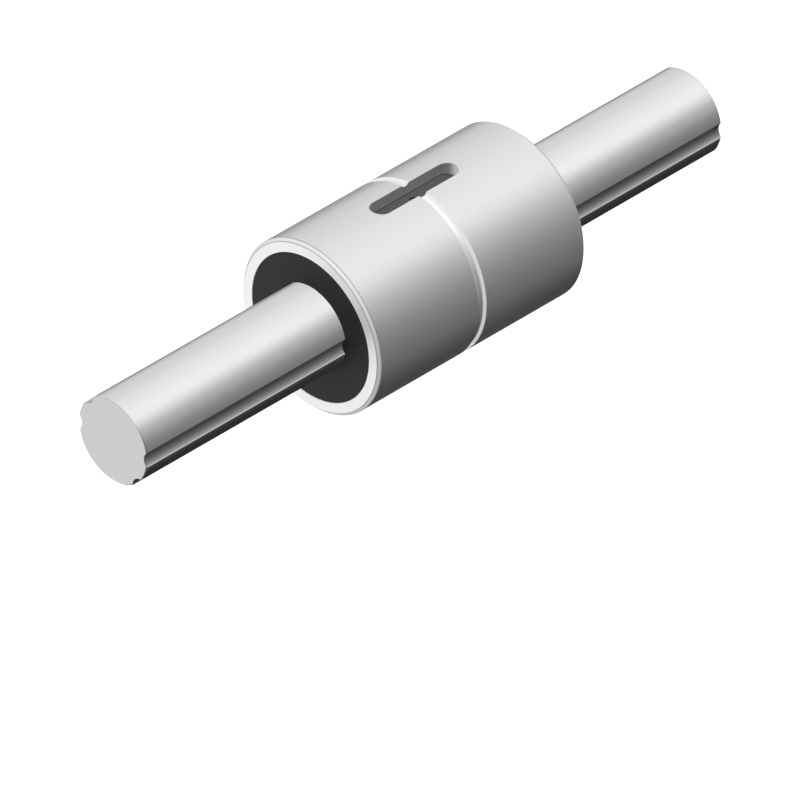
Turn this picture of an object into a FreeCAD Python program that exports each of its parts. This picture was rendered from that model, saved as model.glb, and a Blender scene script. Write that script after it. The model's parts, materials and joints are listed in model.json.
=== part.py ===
import FreeCAD, Part
import math
import os

# Ball spline: a shaft with four raceways and a round nut keyed to its housing, which runs along it on
# four circuits of recirculating balls. Lengths are in millimetres and angles in degrees.
# X runs along the shaft from the near end to the far end, Z points up through the middle of the keyway,
# and the origin is the middle of the nut, on the centre line. Section angles are turned about X from Y.

# Shaft
SHAFT_DIAMETER = 10.0
SHAFT_LENGTH = 83.4
NUT_OFFSET = 1.7              # from the middle of the shaft to the middle of the nut, towards the far end
SHAFT_CHAMFER = 0.15
RACEWAY_DEPTH = 0.5           # below the shaft's outside

# Balls and the tracks that they follow
BALL_DIAMETER = 2.381
BALL_RUNNING_GAP = 0.03       # between a ball and the raceway beside it
BALL_SPACING = 0.03           # between one ball and the next
BALL_SEARCH_STEP = 0.006      # along the circuit, while looking for the next ball's place
RACEWAY_CONFORMITY = 1.05     # radius of a raceway's arcs over the radius of the ball
CREST_ANGLES = (22.5, 202.5)  # the shaft's two crests, each held between two rows of loaded balls
ROW_HALF_SPACING = 22.5       # from a crest to each of its two rows
RETURN_OFFSET = 36.0          # from a loaded row to the track that its balls return along
RAMP_LENGTH = 2.6             # at each end of a loaded row, where the balls lift to the return's height
TURN_SHAFT_GAP = 0.12         # between the shaft and the balls where they turn round
TRACK_GAP = 0.06              # between a ball and the track moulded in the retainer
POCKET_GAP = 0.1              # between a returning ball and the cylinder's return pocket

# Outer cylinder
NUT_DIAMETER = 20.0
NUT_LENGTH = 30.0
NUT_CHAMFER = 0.35
RACEWAY_LAND = 0.55           # height of the lands between raceways, inside the cylinder
COUNTERBORE_GAP = 0.05        # between the track's outside and the cylinder's counterbore
SEAL_SEAT_DIAMETER = 17.0
SNAP_GROOVE_DEPTH = 0.5
OIL_GROOVE_WIDTH = 1.1
OIL_GROOVE_FLOOR = 0.5
OIL_GROOVE_DEPTH = 0.3
OIL_HOLE_DIAMETER = 1.2
KEYWAY_WIDTH = 2.5
KEYWAY_LENGTH = 12.0
KEYWAY_DEPTH = 1.5

# Ball retainer
RETAINER_SHAFT_GAP = 0.15
RETAINER_BORE_GAP = 0.1
RETAINER_COLLAR = 0.3         # over the loaded rows, where the balls leave them
RETAINER_FLANGE = 0.5
RETAINER_END_WALL = 0.2       # between the turns and the flange
RETAINER_END_GAP = 0.05

# Rings and seals
SIDE_RING_THICKNESS = 0.7
SIDE_RING_SHAFT_GAP = 0.3
RING_CHAMFER = 0.15
SNAP_RING_THICKNESS = 0.7
SNAP_RING_HEIGHT = 1.05
SNAP_RING_OPENING = 30.0
SNAP_RING_GAP = 0.03          # round the ring in its groove
SEAL_WIDTH = 1.6
SEAL_RECESS = 0.08            # below the nut's end face
SEAL_LIP_THICKNESS = 0.45
SEAL_LIP_GAP = 0.05           # between the lips and the shaft
SEAL_HOLLOW = 1.2             # height of the hollow behind the lips
SEAL_CORE_THICKNESS = 0.5
SEAL_CORE_HEIGHT = 1.5
SEAL_CORE_COVER = 0.4         # rubber round the outside of the core
SEAT_GAP = 0.03               # round a ring or seal in its seat

# Places worked out from the sizes above
SHAFT_RADIUS = SHAFT_DIAMETER / 2
NUT_RADIUS = NUT_DIAMETER / 2
BALL_RADIUS = BALL_DIAMETER / 2
RACEWAY_RADIUS = RACEWAY_CONFORMITY * BALL_RADIUS
# the two arcs of a raceway meet in a point, and the ball touches them at 45 degrees
ARC_OFFSET = (RACEWAY_RADIUS - BALL_RADIUS - BALL_RUNNING_GAP) / math.sqrt(2)
ARCH_HEIGHT = math.sqrt(RACEWAY_RADIUS**2 - ARC_OFFSET**2) - ARC_OFFSET
LOADED_RADIUS = SHAFT_RADIUS - RACEWAY_DEPTH + ARCH_HEIGHT
TRACK_RADIUS = BALL_RADIUS + TRACK_GAP
# each turn is a half circle in a flat plane that passes over the shaft, square to the radius at its middle
TURN_HEIGHT = SHAFT_RADIUS + TURN_SHAFT_GAP + BALL_RADIUS
RETURN_RADIUS = TURN_HEIGHT / math.cos(math.radians(RETURN_OFFSET / 2))
TURN_RADIUS = TURN_HEIGHT * math.tan(math.radians(RETURN_OFFSET / 2))
# each ramp is two equal arcs, one bending outwards and one bending back
RAMP_RISE = RETURN_RADIUS - LOADED_RADIUS
RAMP_RADIUS = (RAMP_LENGTH**2 + RAMP_RISE**2) / (4 * RAMP_RISE)
RAMP_BEND = RAMP_RADIUS * math.asin(RAMP_LENGTH / (2 * RAMP_RADIUS))
BORE_RADIUS = LOADED_RADIUS + ARCH_HEIGHT - RACEWAY_LAND
COUNTERBORE_RADIUS = RETURN_RADIUS + TRACK_RADIUS + COUNTERBORE_GAP
SEAT_RADIUS = SEAL_SEAT_DIAMETER / 2

SEAL_FACE = NUT_LENGTH / 2 - SEAL_WIDTH
SNAP_RING_FACE = SEAL_FACE - SNAP_RING_THICKNESS
SHOULDER = SNAP_RING_FACE - SIDE_RING_THICKNESS
FLANGE_FACE = SHOULDER - RETAINER_END_GAP - RETAINER_FLANGE
LEG_END = FLANGE_FACE - RETAINER_END_WALL - TRACK_RADIUS - TURN_RADIUS
RACEWAY_END = LEG_END - RAMP_LENGTH
# distances along half a circuit, from the middle of its loaded row to the middle of its return track
RAMP_MIDDLE = RACEWAY_END + RAMP_BEND
TURN_START = RAMP_MIDDLE + RAMP_BEND
TURN_END = TURN_START + math.pi * TURN_RADIUS
HALF_LOOP = TURN_END + LEG_END

ORIGIN = FreeCAD.Vector(0, 0, 0)
X_AXIS = FreeCAD.Vector(1, 0, 0)
Z_AXIS = FreeCAD.Vector(0, 0, 1)


def section_point(x, angle, radius, across=0.0):
    """A point at an angle and radius in the section at x, moved sideways by across."""
    turn = math.radians(angle)
    y = radius * math.cos(turn) - across * math.sin(turn)
    z = radius * math.sin(turn) + across * math.cos(turn)
    return FreeCAD.Vector(x, y, z)


def turned(outline, sweep=360):
    """A solid turned about the X axis from a closed outline of (x, radius) points."""
    points = [FreeCAD.Vector(x, radius, 0) for x, radius in outline]
    face = Part.Face(Part.makePolygon(points + points[:1]))
    return face.revolve(ORIGIN, X_AXIS, sweep)


def ring(start, end, inner, outer, chamfer=0.0):
    """A plain ring between two places on the X axis, with its outer corners chamfered."""
    outline = [(start, inner), (end, inner), (end, outer - chamfer)]
    outline += [(end - chamfer, outer), (start + chamfer, outer), (start, outer - chamfer)]
    if chamfer == 0:
        outline = [(start, inner), (end, inner), (end, outer), (start, outer)]
    return turned(outline)


def mirrored(shape):
    """The same shape at the near end of the nut."""
    return shape.mirror(ORIGIN, X_AXIS)


def arch(start, end, angle, centre_radius, arc_radius, arc_offset, facing):
    """A long cutter with a pointed arch for its section.

    Facing is 1 where the arch points away from the centre line and -1 where it points towards it. The
    centres of its two arcs lie arc_offset past the middle, and straight sides close it at the back.
    """
    cusp_turn = math.acos(arc_offset / arc_radius)
    cusp = section_point(start, angle, centre_radius + facing * arc_radius * math.sin(cusp_turn))
    back = centre_radius - facing * arc_radius
    edges = []
    corners = []
    for side in (1, -1):
        middle = side * (arc_radius * math.cos(cusp_turn / 2) - arc_offset)
        flank = section_point(
            start, angle, centre_radius + facing * arc_radius * math.sin(cusp_turn / 2), middle
        )
        widest = side * (arc_radius - arc_offset)
        shoulder = section_point(start, angle, centre_radius, widest)
        corner = section_point(start, angle, back, widest)
        edges.append(Part.Arc(cusp, flank, shoulder).toShape())
        edges.append(Part.makeLine(shoulder, corner))
        corners.append(corner)
    edges.append(Part.makeLine(corners[0], corners[1]))
    face = Part.Face(Part.Wire(Part.__sortEdges__(edges)))
    return face.extrude(X_AXIS * (end - start))


def row_angles():
    """The section angle of each loaded row, with the side that its balls return on."""
    return [(crest + side * ROW_HALF_SPACING, side) for crest in CREST_ANGLES for side in (-1, 1)]


def splined_bar(start, end, growth=0.0, chamfer=0.0):
    """A length of the shaft's section, grown all over by growth."""
    radius = SHAFT_RADIUS + growth
    outline = [(start, 0), (start, radius - chamfer), (start + chamfer, radius)]
    outline += [(end - chamfer, radius), (end, radius - chamfer), (end, 0)]
    if chamfer == 0:
        outline = [(start, 0), (start, radius), (end, radius), (end, 0)]
    raceways = [
        arch(start, end, angle, LOADED_RADIUS + ARC_OFFSET, RACEWAY_RADIUS - growth, ARC_OFFSET, -1)
        for angle, side in row_angles()
    ]
    return turned(outline).cut(raceways)


def spline_shaft():
    middle = -NUT_OFFSET
    return splined_bar(middle - SHAFT_LENGTH / 2, middle + SHAFT_LENGTH / 2, chamfer=SHAFT_CHAMFER)


def keyway():
    """The slot for the key: round at both ends, with a flat floor."""
    floor = NUT_RADIUS - KEYWAY_DEPTH
    half_width = KEYWAY_WIDTH / 2
    straight = KEYWAY_LENGTH / 2 - half_width
    corners = [
        FreeCAD.Vector(-straight, -half_width, floor),
        FreeCAD.Vector(straight, -half_width, floor),
        FreeCAD.Vector(straight, half_width, floor),
        FreeCAD.Vector(-straight, half_width, floor),
    ]
    far_end = Part.Arc(corners[1], FreeCAD.Vector(KEYWAY_LENGTH / 2, 0, floor), corners[2])
    near_end = Part.Arc(corners[3], FreeCAD.Vector(-KEYWAY_LENGTH / 2, 0, floor), corners[0])
    sides = [Part.makeLine(corners[0], corners[1]), Part.makeLine(corners[2], corners[3])]
    outline = Part.Wire([sides[0], far_end.toShape(), sides[1], near_end.toShape()])
    return Part.Face(outline).extrude(Z_AXIS * NUT_RADIUS)


def oil_groove():
    """A groove with sloping sides all round the nut's middle, which feeds the keyway and its oil hole."""
    floor = NUT_RADIUS - OIL_GROOVE_DEPTH
    top = NUT_RADIUS + OIL_GROOVE_DEPTH
    half_floor = OIL_GROOVE_FLOOR / 2
    half_top = OIL_GROOVE_WIDTH - half_floor
    return turned([(-half_floor, floor), (half_floor, floor), (half_top, top), (-half_top, top)])


def outer_cylinder():
    end = NUT_LENGTH / 2
    outside = [(end - NUT_CHAMFER, NUT_RADIUS), (end, NUT_RADIUS - NUT_CHAMFER)]
    inside = [
        (end, SEAT_RADIUS),
        (SEAL_FACE, SEAT_RADIUS),
        (SEAL_FACE, SEAT_RADIUS + SNAP_GROOVE_DEPTH),
        (SNAP_RING_FACE, SEAT_RADIUS + SNAP_GROOVE_DEPTH),
        (SNAP_RING_FACE, SEAT_RADIUS),
        (SHOULDER, SEAT_RADIUS),
        (SHOULDER, COUNTERBORE_RADIUS),
        (RACEWAY_END, COUNTERBORE_RADIUS),
        (RACEWAY_END, BORE_RADIUS),
    ]
    half = outside + inside
    blank = turned(half + [(-x, radius) for x, radius in reversed(half)])
    cutters = [keyway(), oil_groove()]
    cutters.append(Part.makeCylinder(OIL_HOLE_DIAMETER / 2, NUT_RADIUS, ORIGIN, Z_AXIS))
    for angle, side in row_angles():
        loaded = (angle, LOADED_RADIUS - ARC_OFFSET, RACEWAY_RADIUS, ARC_OFFSET, 1)
        returning = (angle + side * RETURN_OFFSET, RETURN_RADIUS, BALL_RADIUS + POCKET_GAP, 0.0, 1)
        cutters.append(arch(-RACEWAY_END, RACEWAY_END, *loaded))
        cutters.append(arch(-RACEWAY_END, RACEWAY_END, *returning))
    return blank.cut(cutters)


def loop_point(row_angle, side, distance):
    """The place of a ball's centre, this far round its circuit from the middle of the loaded row.

    The balls run along the row, lift up a ramp, turn round the end of the circuit and come back along
    the return track, further out. A negative distance goes round the near end.
    """
    travel = abs(distance)
    if TURN_START < travel < TURN_END:
        bend = (travel - TURN_START) / TURN_RADIUS
        x = math.copysign(LEG_END + TURN_RADIUS * math.sin(bend), distance)
        across = -side * TURN_RADIUS * math.cos(bend)
        return section_point(x, row_angle + side * RETURN_OFFSET / 2, TURN_HEIGHT, across)
    if travel >= TURN_END:
        x = LEG_END - (travel - TURN_END)
        return section_point(math.copysign(x, distance), row_angle + side * RETURN_OFFSET, RETURN_RADIUS)
    if travel > RAMP_MIDDLE:
        bend = (TURN_START - travel) / RAMP_RADIUS
        x = LEG_END - RAMP_RADIUS * math.sin(bend)
        radius = RETURN_RADIUS - RAMP_RADIUS * (1 - math.cos(bend))
    else:
        bend = max(travel - RACEWAY_END, 0) / RAMP_RADIUS
        x = min(travel, RACEWAY_END) + RAMP_RADIUS * math.sin(bend)
        radius = LOADED_RADIUS + RAMP_RADIUS * (1 - math.cos(bend))
    return section_point(math.copysign(x, distance), row_angle, radius)


def half_track(row_angle, side):
    """A round passage along the far half of a circuit: out along the row, round the turn and back."""
    stops = [RACEWAY_END, RAMP_MIDDLE, TURN_START, (TURN_START + TURN_END) / 2, TURN_END]
    row_middle = loop_point(row_angle, side, 0)
    edges = [Part.makeLine(row_middle, loop_point(row_angle, side, RACEWAY_END))]
    for start, end in zip(stops, stops[1:]):
        bend = [loop_point(row_angle, side, distance) for distance in (start, (start + end) / 2, end)]
        edges.append(Part.Arc(*bend).toShape())
    edges.append(Part.makeLine(bend[2], loop_point(row_angle, side, HALF_LOOP)))
    mouth = Part.Face(Part.Wire(Part.makeCircle(TRACK_RADIUS, row_middle, X_AXIS)))
    return Part.Wire(edges).makePipe(mouth)


def ball_retainer():
    """The moulded sleeve that guides the balls: slots for the loaded rows, tracks for their return."""
    inner = SHAFT_RADIUS + RETAINER_SHAFT_GAP
    sleeve = BORE_RADIUS - RETAINER_BORE_GAP
    collar = LOADED_RADIUS + TRACK_RADIUS + RETAINER_COLLAR
    flange = COUNTERBORE_RADIUS - RETAINER_BORE_GAP
    half = [
        (FLANGE_FACE + RETAINER_FLANGE, inner),
        (FLANGE_FACE + RETAINER_FLANGE, flange),
        (FLANGE_FACE, flange),
        (FLANGE_FACE, collar),
        (RACEWAY_END + RETAINER_BORE_GAP, collar),
        (RACEWAY_END + RETAINER_BORE_GAP, sleeve),
    ]
    blank = turned(half + [(-x, radius) for x, radius in reversed(half)])
    far_tracks = [half_track(angle, side) for angle, side in row_angles()]
    return blank.cut(far_tracks + [mirrored(track) for track in far_tracks])


def ball_places(row_angle, side):
    """The balls' centres round one circuit, each with the stretch that the ball is on.

    They are set out from the middle of the return track, where a gap under one ball's size is left.
    """
    pitch = BALL_DIAMETER + BALL_SPACING
    first = loop_point(row_angle, side, -HALF_LOOP)
    places = [("return", first)]
    distance = -HALF_LOOP
    while distance < HALF_LOOP:
        distance += BALL_SEARCH_STEP
        point = loop_point(row_angle, side, distance)
        if point.distanceToPoint(places[-1][1]) < pitch:
            continue
        if distance > 0 and point.distanceToPoint(first) < pitch:
            break
        places.append((stretch(distance), point))
    return places


def stretch(distance):
    """The name of the stretch of a circuit at this distance from the middle of the loaded row."""
    if abs(distance) < RACEWAY_END:
        return "loaded"
    if abs(distance) > TURN_END:
        return "return"
    return "far_turn" if distance > 0 else "near_turn"


def circuit_balls(row_angle, side):
    """One circuit's balls as true spheres, grouped by the stretch that they are on."""
    groups = {}
    for name, centre in ball_places(row_angle, side):
        groups.setdefault(name, []).append(Part.makeSphere(BALL_RADIUS, centre))
    return {name: Part.makeCompound(balls) for name, balls in groups.items()}


def side_ring():
    """The steel ring that closes the turns, held against the cylinder's shoulder by the snap ring."""
    inner = SHAFT_RADIUS + SIDE_RING_SHAFT_GAP
    return ring(SHOULDER, SNAP_RING_FACE, inner, SEAT_RADIUS - SEAT_GAP, RING_CHAMFER)


def snap_ring():
    """An open ring with round ends, sprung into its groove in the cylinder."""
    outer = SEAT_RADIUS + SNAP_GROOVE_DEPTH - SNAP_RING_GAP
    inner = outer - SNAP_RING_HEIGHT
    start = SNAP_RING_FACE + SNAP_RING_GAP
    end = SEAL_FACE - SNAP_RING_GAP
    outline = [(start, inner), (end, inner), (end, outer), (start, outer)]
    body = turned(outline, 360 - SNAP_RING_OPENING)
    body.rotate(ORIGIN, X_AXIS, SNAP_RING_OPENING / 2 - 90)
    middle = (inner + outer) / 2
    ends = [
        Part.makeCylinder(SNAP_RING_HEIGHT / 2, end - start, section_point(start, angle, middle), X_AXIS)
        for angle in (SNAP_RING_OPENING / 2 - 90, -SNAP_RING_OPENING / 2 - 90)
    ]
    return body.fuse(ends).removeSplitter()


def seal_core():
    """The steel ring that stiffens the seal, set into its inner face."""
    outer = SEAT_RADIUS - SEAT_GAP - SEAL_CORE_COVER
    return ring(SEAL_FACE, SEAL_FACE + SEAL_CORE_THICKNESS, outer - SEAL_CORE_HEIGHT, outer)


def seal():
    """The rubber seal: a thick rim round its core and thin lips that follow the shaft's raceways."""
    face = NUT_LENGTH / 2 - SEAL_RECESS
    lip_root = SHAFT_RADIUS - RACEWAY_DEPTH - SEAL_LIP_THICKNESS
    outline = [
        (SEAL_FACE, SEAT_RADIUS - SEAT_GAP),
        (face, SEAT_RADIUS - SEAT_GAP),
        (face, lip_root),
        (face - SEAL_LIP_THICKNESS, lip_root),
        (SEAL_FACE, SHAFT_RADIUS + SEAL_HOLLOW),
    ]
    shaft_opening = splined_bar(0, NUT_LENGTH, growth=SEAL_LIP_GAP)
    return turned(outline).cut([seal_core(), shaft_opening])


def build():
    parts = {
        "spline_shaft": spline_shaft(),
        "outer_cylinder": outer_cylinder(),
        "ball_retainer": ball_retainer(),
    }
    end_pieces = {
        "side_ring": side_ring(),
        "snap_ring": snap_ring(),
        "seal_core": seal_core(),
        "seal": seal(),
    }
    for name, shape in end_pieces.items():
        parts["far_" + name] = shape
        parts["near_" + name] = mirrored(shape)
    for number, (angle, side) in enumerate(row_angles(), start=1):
        for place, balls in circuit_balls(angle, side).items():
            parts[f"circuit_{number}_{place}_balls"] = balls
    os.makedirs("parts", exist_ok=True)
    for name, shape in parts.items():
        shape.exportStep(f"parts/{name}.step")


build()
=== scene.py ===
import json
import math

import bpy
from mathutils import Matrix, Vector


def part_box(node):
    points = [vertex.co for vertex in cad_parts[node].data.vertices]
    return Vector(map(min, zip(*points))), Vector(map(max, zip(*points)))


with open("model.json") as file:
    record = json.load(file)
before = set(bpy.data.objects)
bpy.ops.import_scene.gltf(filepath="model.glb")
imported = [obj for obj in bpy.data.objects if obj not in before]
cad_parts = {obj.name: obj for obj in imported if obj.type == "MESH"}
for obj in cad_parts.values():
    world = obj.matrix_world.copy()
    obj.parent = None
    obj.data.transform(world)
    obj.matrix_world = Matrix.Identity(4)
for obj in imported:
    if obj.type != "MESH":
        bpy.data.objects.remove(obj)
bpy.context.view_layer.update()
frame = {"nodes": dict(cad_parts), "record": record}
nodes = frame["nodes"]
bodies = frame["record"]["behaviour"]["bodies"]

MM = 0.001

# The photograph: its size in pixels, the size of one of them on the object, and the pixel that the middle
# of the nut lies at, from the left and from the top
PHOTO_SIZE = 800
PIXEL = 0.1026 * MM
NUT_MIDDLE = (413.9, 268.2)
TOWARDS_CAMERA = Vector((-1, -1, 1)).normalized()
# The camera's lens and sensor, in millimetres
LENS = 1600
SENSOR = 36

# Places on the object, in metres
NUT_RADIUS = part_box("outer_cylinder")[1].z
NUT_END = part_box("outer_cylinder")[1].x
NUT_CHAMFER = 0.35 * MM
SHAFT_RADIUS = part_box("spline_shaft")[1].z
SHAFT_NEAR_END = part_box("spline_shaft")[0].x
SHAFT_FAR_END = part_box("spline_shaft")[1].x
KEYWAY_HALF_WIDTH = 1.25 * MM
KEYWAY_HALF_LENGTH = 6 * MM
KEYWAY_FLOOR = NUT_RADIUS - 1.5 * MM
OIL_GROOVE_HALF_WIDTH = 0.55 * MM
OIL_GROOVE_FLOOR = NUT_RADIUS - 0.3 * MM

# Half the width of the fine dark line of painted shade along each edge of a turned chamfer
EDGE_LINE = 0.03 * MM
BROKEN_EDGE = 0.05 * MM
# An edge with a sharper bend than this is broken, and faces that bend by less than the other are one face
SHARP_BEND = math.radians(28)
FLAT_BEND = math.radians(0.2)

# How bright the studio is at each angle round the shaft, in degrees from level on the right, 90 being
# overhead: a broad soft light above, falling away on both sides, and dark under the right-hand side
STUDIO_LIGHT = [
    (-135, 0.2),
    (-112, 0.045),
    (-98, 0.034),
    (-84, 0.034),
    (-71, 0.062),
    (-55, 0.13),
    (-20, 0.222),
    (10, 0.398),
    (38, 0.7),
    (58, 1.05),
    (75, 1.14),
    (95, 1.08),
    (125, 0.98),
    (145, 0.88),
    (165, 0.82),
    (182, 0.66),
    (198, 0.25),
    (225, 0.2),
]
# The studio's overall strength, so that no level over it is over 1
STUDIO_STRENGTH = 1.25
# The near end faces see this light, low beyond the shaft's near end: the direction of its middle, its
# level, and how near to that direction it begins and is full, as cosines
END_LIGHT = Vector((-1, 1, -1)).normalized()
END_LIGHT_LEVEL = 1.22
END_LIGHT_RIM = (0.6, 0.85)

FLOOR_DROP = 400 * MM
FLOOR_SIZE = 12
FLOOR_GLOW = 0.3

# The two inputs and the output of a Mix node that belong to each kind of value
MIX_SOCKETS = {"FLOAT": (2, 3, 0), "RGBA": (6, 7, 2)}


def grey(level):
    """A grey a little on the warm side."""
    return (level, level, level * 0.99, 1)


class Nodes:
    """A node tree, with short calls for the nodes that the finishes and the studio share."""

    def __init__(self, tree):
        self.tree = tree

    def add(self, kind, **settings):
        node = self.tree.nodes.new(kind)
        for key, value in settings.items():
            setattr(node, key, value)
        return node

    def feed(self, socket, value):
        """Gives a socket a plain value or another node's output."""
        if isinstance(value, bpy.types.NodeSocket):
            self.tree.links.new(value, socket)
        else:
            socket.default_value = value

    def math(self, operation, first, second=0.0):
        node = self.add("ShaderNodeMath", operation=operation)
        self.feed(node.inputs[0], first)
        self.feed(node.inputs[1], second)
        return node.outputs[0]

    def both(self, *shares):
        """The product of several shares: 1 only where each is 1."""
        product = shares[0]
        for share in shares[1:]:
            product = self.math("MULTIPLY", product, share)
        return product

    def split(self, vector):
        node = self.add("ShaderNodeSeparateXYZ")
        self.feed(node.inputs[0], vector)
        return node.outputs

    def spread(self, value, low, high):
        """Maps 0 to 1 onto low to high."""
        node = self.add("ShaderNodeMapRange")
        self.feed(node.inputs["Value"], value)
        self.feed(node.inputs["To Min"], low)
        self.feed(node.inputs["To Max"], high)
        return node.outputs[0]

    def step(self, value, start, end):
        """0 before start, 1 after end, smooth between them."""
        node = self.add("ShaderNodeMapRange", interpolation_type="SMOOTHSTEP")
        self.feed(node.inputs["Value"], value)
        self.feed(node.inputs["From Min"], start)
        self.feed(node.inputs["From Max"], end)
        return node.outputs[0]

    def blend(self, kind, share, first, second):
        """The first value where share is 0, the second where it is 1, and a mixture between."""
        first_input, second_input, output = MIX_SOCKETS[kind]
        node = self.add("ShaderNodeMix", data_type=kind)
        self.feed(node.inputs[0], share)
        self.feed(node.inputs[first_input], first)
        self.feed(node.inputs[second_input], second)
        return node.outputs[output]

    def mix(self, share, first, second):
        """Mixes two numbers by share."""
        return self.blend("FLOAT", share, first, second)

    def tint(self, share, first, second):
        """Mixes two colours by share."""
        return self.blend("RGBA", share, first, second)


class Finish(Nodes):
    """One piece's surface: a material on the object's own coordinates, in metres."""

    def __init__(self, name):
        self.material = bpy.data.materials.new(name)
        self.material.use_nodes = True
        super().__init__(self.material.node_tree)
        self.surface = self.tree.nodes["Principled BSDF"]
        self.place = self.add("ShaderNodeTexCoord").outputs["Object"]
        self.x, self.y, self.z = self.split(self.place)
        squares = [self.math("MULTIPLY", axis, axis) for axis in (self.y, self.z)]
        self.radius = self.math("SQRT", self.math("ADD", *squares))

    def set(self, socket, value):
        self.feed(self.surface.inputs[socket], value)

    def cover(self, socket, share, value):
        """Lays a value over what the socket has, by share."""
        socket = self.surface.inputs[socket]
        under = socket.links[0].from_socket if socket.is_linked else socket.default_value
        mixer = self.tint if socket.type == "RGBA" else self.mix
        self.feed(socket, mixer(share, under, value))

    def grain(self, fineness, detail=3):
        """Noise that changes over about 1/fineness metres along each axis."""
        place = self.add("ShaderNodeMapping")
        self.feed(place.inputs["Vector"], self.place)
        place.inputs["Scale"].default_value = fineness
        node = self.add("ShaderNodeTexNoise")
        self.feed(node.inputs["Vector"], place.outputs[0])
        node.inputs["Scale"].default_value = 1
        node.inputs["Detail"].default_value = detail
        return node.outputs["Fac"]

    def within(self, value, limit, margin=0.05 * MM):
        """1 where a value lies within the limit and one margin of 0, fading out over one more margin."""
        return self.step(self.math("ABSOLUTE", value), limit + 2 * margin, limit + margin)

    def below(self, value, limit, margin=0.04 * MM):
        """1 where a value is less than the limit by more than the margin."""
        return self.step(value, limit, limit - margin)

    def relief(self, height, strength, depth):
        node = self.add("ShaderNodeBump")
        self.feed(node.inputs["Height"], height)
        node.inputs["Strength"].default_value = strength
        node.inputs["Distance"].default_value = depth
        self.set("Normal", node.outputs[0])


def ground_steel(name, brightness, smoothest, roughest):
    """Steel ground round its axis: fine rings, and a gloss that changes a little from place to place."""
    finish = Finish(name)
    rings = finish.grain((9000, 60, 60), detail=4)
    clouds = finish.grain((160, 260, 260), detail=5)
    worn = finish.mix(0.35, rings, clouds)
    finish.set("Metallic", 1)
    finish.set("Base Color", finish.tint(worn, grey(brightness * 0.94), grey(brightness)))
    finish.set("Roughness", finish.spread(worn, smoothest, roughest))
    finish.relief(rings, 0.1, 0.01 * MM)
    return finish


def nut_steel():
    """The ground outer cylinder: bright turned ends with painted shade along their chamfer edges, a
    painted highlight in the oil groove, and a dull milled keyway with painted shade on its floor.
    """
    finish = ground_steel("ground_nut_steel", brightness=0.77, smoothest=0.28, roughest=0.36)
    finish.set("Metallic", 0.96)
    turn_nut_ends_and_paint_edge_shade(finish)
    paint_oil_groove_highlight(finish)
    mill_keyway_and_paint_floor_shade(finish)
    return finish


def turn_nut_ends_and_paint_edge_shade(finish):
    """Paler end faces and chamfers, with a fine dark line of painted shade along both edges of each
    chamfer.
    """
    from_chamfer = finish.math("SUBTRACT", finish.math("ABSOLUTE", finish.x), NUT_END - NUT_CHAMFER)
    ends = finish.step(from_chamfer, -EDGE_LINE, 0)
    finish.cover("Base Color", ends, grey(0.88))
    finish.cover("Metallic", ends, 0.6)
    finish.cover("Roughness", ends, 0.45)
    from_face = finish.math("SUBTRACT", finish.radius, NUT_RADIUS - NUT_CHAMFER)
    painted_face_edge_shade = finish.both(ends, finish.within(from_face, 0, EDGE_LINE))
    edges = finish.math("MAXIMUM", painted_face_edge_shade, finish.within(from_chamfer, 0, EDGE_LINE))
    # the fine dark lines along both edges of each chamfer are painted shade
    finish.cover("Base Color", edges, grey(0.42))


def paint_oil_groove_highlight(finish):
    """A painted highlight: the whole groove is painted near white, and its sloping sides are satin where
    its floor is ground.
    """
    sunk = finish.below(finish.radius, NUT_RADIUS)
    over_floor = finish.step(finish.radius, OIL_GROOVE_FLOOR - 0.2 * MM, OIL_GROOVE_FLOOR - 0.1 * MM)
    groove = finish.both(sunk, over_floor, finish.within(finish.x, OIL_GROOVE_HALF_WIDTH))
    sides = finish.both(groove, finish.step(finish.radius, OIL_GROOVE_FLOOR, OIL_GROOVE_FLOOR + 0.04 * MM))
    # the groove's near-white colour is a painted highlight
    finish.cover("Base Color", groove, grey(0.95))
    finish.cover("Metallic", sides, 0.4)
    finish.cover("Roughness", sides, 0.6)


def mill_keyway_and_paint_floor_shade(finish):
    """A dull keyway with the marks of its cutter; its floor is painted far darker than its walls, as
    painted shade in the recess.
    """
    sunk = finish.below(finish.radius, NUT_RADIUS)
    across = finish.within(finish.y, KEYWAY_HALF_WIDTH)
    along = finish.within(finish.x, KEYWAY_HALF_LENGTH)
    over_floor = finish.step(finish.z, KEYWAY_FLOOR - 0.3 * MM, KEYWAY_FLOOR - 0.2 * MM)
    keyway = finish.both(sunk, across, along, over_floor)
    marks = finish.grain((2500, 2500, 500), detail=4)
    wall = finish.tint(marks, grey(0.42), grey(0.54))
    # the floor's near-black grey is painted shade at the bottom of the recess
    floor = finish.tint(marks, grey(0.1), grey(0.13))
    low = finish.below(finish.z, KEYWAY_FLOOR + 0.15 * MM, 0.1 * MM)
    finish.cover("Base Color", keyway, finish.tint(low, wall, floor))
    finish.cover("Metallic", keyway, 1)
    finish.cover("Roughness", keyway, 0.5)


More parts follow.
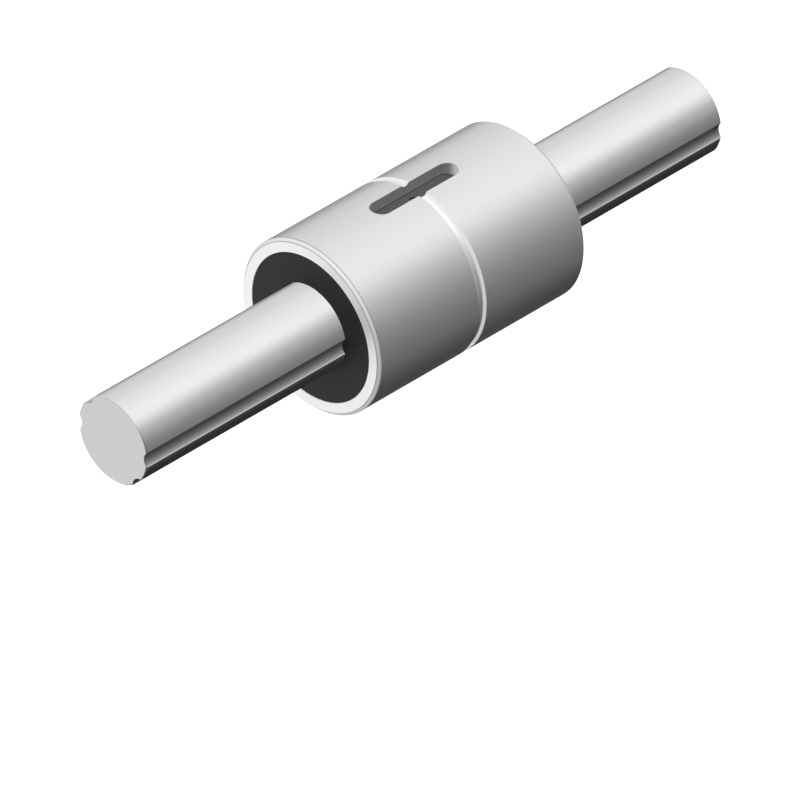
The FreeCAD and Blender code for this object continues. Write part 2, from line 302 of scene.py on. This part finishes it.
def shaft_steel():
    """The hardened shaft, polished finer than the nut, with faced ends and darker raceway grooves, partly
    a duller finish and partly painted shade.
    """
    finish = ground_steel("polished_shaft_steel", brightness=0.77, smoothest=0.1, roughest=0.15)
    dull_and_shaded_raceways = finish.below(finish.radius, SHAFT_RADIUS - 0.05 * MM, 0.1 * MM)
    # the darker grey of each raceway is partly a duller finish and partly painted shade in its groove
    finish.cover("Base Color", dull_and_shaded_raceways, grey(0.5))
    middle = (SHAFT_NEAR_END + SHAFT_FAR_END) / 2
    from_middle = finish.math("SUBTRACT", finish.x, middle)
    reach = SHAFT_FAR_END - middle
    ends = finish.step(finish.math("ABSOLUTE", from_middle), reach - 0.03 * MM, reach - 0.01 * MM)
    noise = finish.add("ShaderNodeTexNoise", noise_dimensions="1D")
    finish.feed(noise.inputs["W"], finish.radius)
    noise.inputs["Scale"].default_value = 4000
    turned_rings = noise.outputs["Fac"]
    finish.cover("Base Color", ends, finish.tint(turned_rings, grey(0.53), grey(0.57)))
    finish.cover("Metallic", ends, 0.5)
    finish.cover("Roughness", ends, finish.spread(turned_rings, 0.28, 0.34))
    return finish


def seal_rubber():
    """Moulded black rubber with a fine matt grain."""
    finish = Finish("seal_rubber")
    grain = finish.grain((9000, 9000, 9000))
    smudges = finish.grain((350, 350, 350), detail=4)
    finish.set("Base Color", finish.tint(smudges, grey(0.012), grey(0.02)))
    finish.set("Roughness", finish.spread(grain, 0.5, 0.68))
    finish.set("Specular IOR Level", 0.22)
    finish.relief(grain, 0.3, 0.02 * MM)
    return finish


def moulded_resin():
    """The cream resin of the ball retainer, faintly mottled."""
    finish = Finish("moulded_resin")
    mottle = finish.grain((900, 900, 900), detail=4)
    finish.set("Base Color", finish.tint(mottle, (0.62, 0.58, 0.47, 1), (0.72, 0.68, 0.57, 1)))
    finish.set("Roughness", finish.spread(mottle, 0.4, 0.55))
    finish.relief(mottle, 0.15, 0.03 * MM)
    return finish


def blued_steel():
    """The dark oxide finish of a snap ring."""
    finish = Finish("blued_spring_steel")
    mottle = finish.grain((1500, 1500, 1500), detail=5)
    finish.set("Metallic", 1)
    finish.set("Base Color", finish.tint(mottle, (0.05, 0.055, 0.07, 1), (0.11, 0.11, 0.12, 1)))
    finish.set("Roughness", finish.spread(mottle, 0.32, 0.5))
    return finish


def dress_pieces():
    """Gives each node the finish of its slot in the record."""
    finishes = {
        "shaft_steel": shaft_steel(),
        "nut_steel": nut_steel(),
        "retainer_resin": moulded_resin(),
        "ring_steel": ground_steel("turned_ring_steel", brightness=0.55, smoothest=0.25, roughest=0.4),
        "spring_steel": blued_steel(),
        "seal_rubber": seal_rubber(),
        "ball_steel": ground_steel("polished_ball_steel", brightness=0.78, smoothest=0.04, roughest=0.08),
    }
    for piece in frame["record"]["subparts"]:
        mesh = nodes[piece["node"]].data
        mesh.materials.clear()
        mesh.materials.append(finishes[piece["material_slot"]].material)


def break_edges(node):
    """Rounds a node's sharp edges a little, so that they catch the light, and evens its gloss."""
    weld = node.modifiers.new("join_faces", "WELD")
    weld.merge_threshold = 0.001 * MM
    # long triangles are joined into long flat strips, so that the gloss doesn't twist along them
    strips = node.modifiers.new("long_strips", "DECIMATE")
    strips.decimate_type = "DISSOLVE"
    strips.angle_limit = FLAT_BEND
    bevel = node.modifiers.new("broken_edges", "BEVEL")
    bevel.width = BROKEN_EDGE
    bevel.segments = 3
    bevel.limit_method = "ANGLE"
    bevel.angle_limit = SHARP_BEND
    even = node.modifiers.new("even_gloss", "WEIGHTED_NORMAL")
    even.keep_sharp = True


def make_camera():
    """A long lens along the photograph's line of sight, framed as the photograph is."""
    data = bpy.data.cameras.new("camera")
    data.lens = LENS
    data.sensor_width = SENSOR
    camera = bpy.data.objects.new("camera", data)
    bpy.context.scene.collection.objects.link(camera)
    camera.rotation_mode = "QUATERNION"
    camera.rotation_quaternion = (-TOWARDS_CAMERA).to_track_quat("-Z", "Y")
    right = camera.rotation_quaternion @ Vector((1, 0, 0))
    up = camera.rotation_quaternion @ Vector((0, 1, 0))
    middle = PHOTO_SIZE / 2
    aim = (right * (middle - NUT_MIDDLE[0]) + up * (NUT_MIDDLE[1] - middle)) * PIXEL
    distance = PHOTO_SIZE * PIXEL * LENS / SENSOR
    camera.location = aim + TOWARDS_CAMERA * distance
    data.clip_start = distance / 10
    data.clip_end = distance * 10
    bpy.context.scene.camera = camera


def studio_grey(level):
    """The grey that has this level once the studio's strength is on it."""
    share = level / STUDIO_STRENGTH
    return (share, share, share, 1)


def light_round_shaft(studio, direction):
    """The levels of the studio's light, which change round the shaft's axis and not along it."""
    y, z = studio.split(direction)[1:]
    # this angle is 0 halfway between the right and overhead, and turns over low on the left
    angle = studio.math("ARCTAN2", studio.math("ADD", z, y), studio.math("SUBTRACT", z, y))
    place = studio.add("ShaderNodeMapRange")
    studio.feed(place.inputs["Value"], angle)
    place.inputs["From Min"].default_value = -math.pi
    place.inputs["From Max"].default_value = math.pi
    ramp = studio.add("ShaderNodeValToRGB")
    studio.feed(ramp.inputs[0], place.outputs[0])
    ramp.color_ramp.interpolation = "CARDINAL"
    stops = ramp.color_ramp.elements
    while len(stops) < len(STUDIO_LIGHT):
        stops.new(0.5)
    first, last = STUDIO_LIGHT[0][0], STUDIO_LIGHT[-1][0]
    for stop, (turn, level) in zip(stops, STUDIO_LIGHT):
        stop.position = (turn - first) / (last - first)
        stop.color = studio_grey(level)
    return ramp.outputs[0]


def light_near_ends(studio, direction, light):
    """Lays the light for the near end faces over the light that is there."""
    nearness = studio.add("ShaderNodeVectorMath", operation="DOT_PRODUCT")
    studio.feed(nearness.inputs[0], direction)
    nearness.inputs[1].default_value = END_LIGHT
    share = studio.step(nearness.outputs["Value"], *END_LIGHT_RIM)
    return studio.tint(share, light, studio_grey(END_LIGHT_LEVEL))


def make_studio_light():
    """A soft surround that lights the part. To the camera it is as plain and pale as the floor."""
    world = bpy.data.worlds.new("studio")
    world.use_nodes = True
    bpy.context.scene.world = world
    studio = Nodes(world.node_tree)
    direction = studio.add("ShaderNodeTexCoord").outputs["Generated"]
    light = light_near_ends(studio, direction, light_round_shaft(studio, direction))
    seen = studio.add("ShaderNodeLightPath").outputs["Is Camera Ray"]
    background = studio.tree.nodes["Background"]
    studio.feed(background.inputs["Color"], studio.tint(seen, light, (1, 1, 1, 1)))
    background.inputs["Strength"].default_value = STUDIO_STRENGTH


def make_floor():
    """A plain pale floor with a faint glow, far enough under the part to take no shadow of it."""
    bpy.ops.object.select_all(action="DESELECT")
    bpy.ops.mesh.primitive_plane_add(size=FLOOR_SIZE, calc_uvs=False, location=(0, 0, -FLOOR_DROP))
    bpy.ops.object.transform_apply(location=True, rotation=False, scale=False)
    floor = bpy.context.object
    floor.name = "floor"
    finish = Finish("pale_floor")
    finish.set("Base Color", finish.tint(finish.grain((6, 6, 6)), grey(0.9), grey(0.93)))
    finish.set("Roughness", 0.9)
    finish.set("Emission Color", (1, 1, 1, 1))
    finish.set("Emission Strength", FLOOR_GLOW)
    floor.data.materials.append(finish.material)
    floor.visible_glossy = False


make_camera()
dress_pieces()
for name in ("outer_cylinder", "spline_shaft"):
    break_edges(nodes[name])
# the photograph shows no mirror image of the nut in the shaft
for name in bodies["nut"]:
    nodes[name].visible_glossy = False
make_studio_light()
make_floor()
bpy.context.scene.view_settings.view_transform = "Standard"
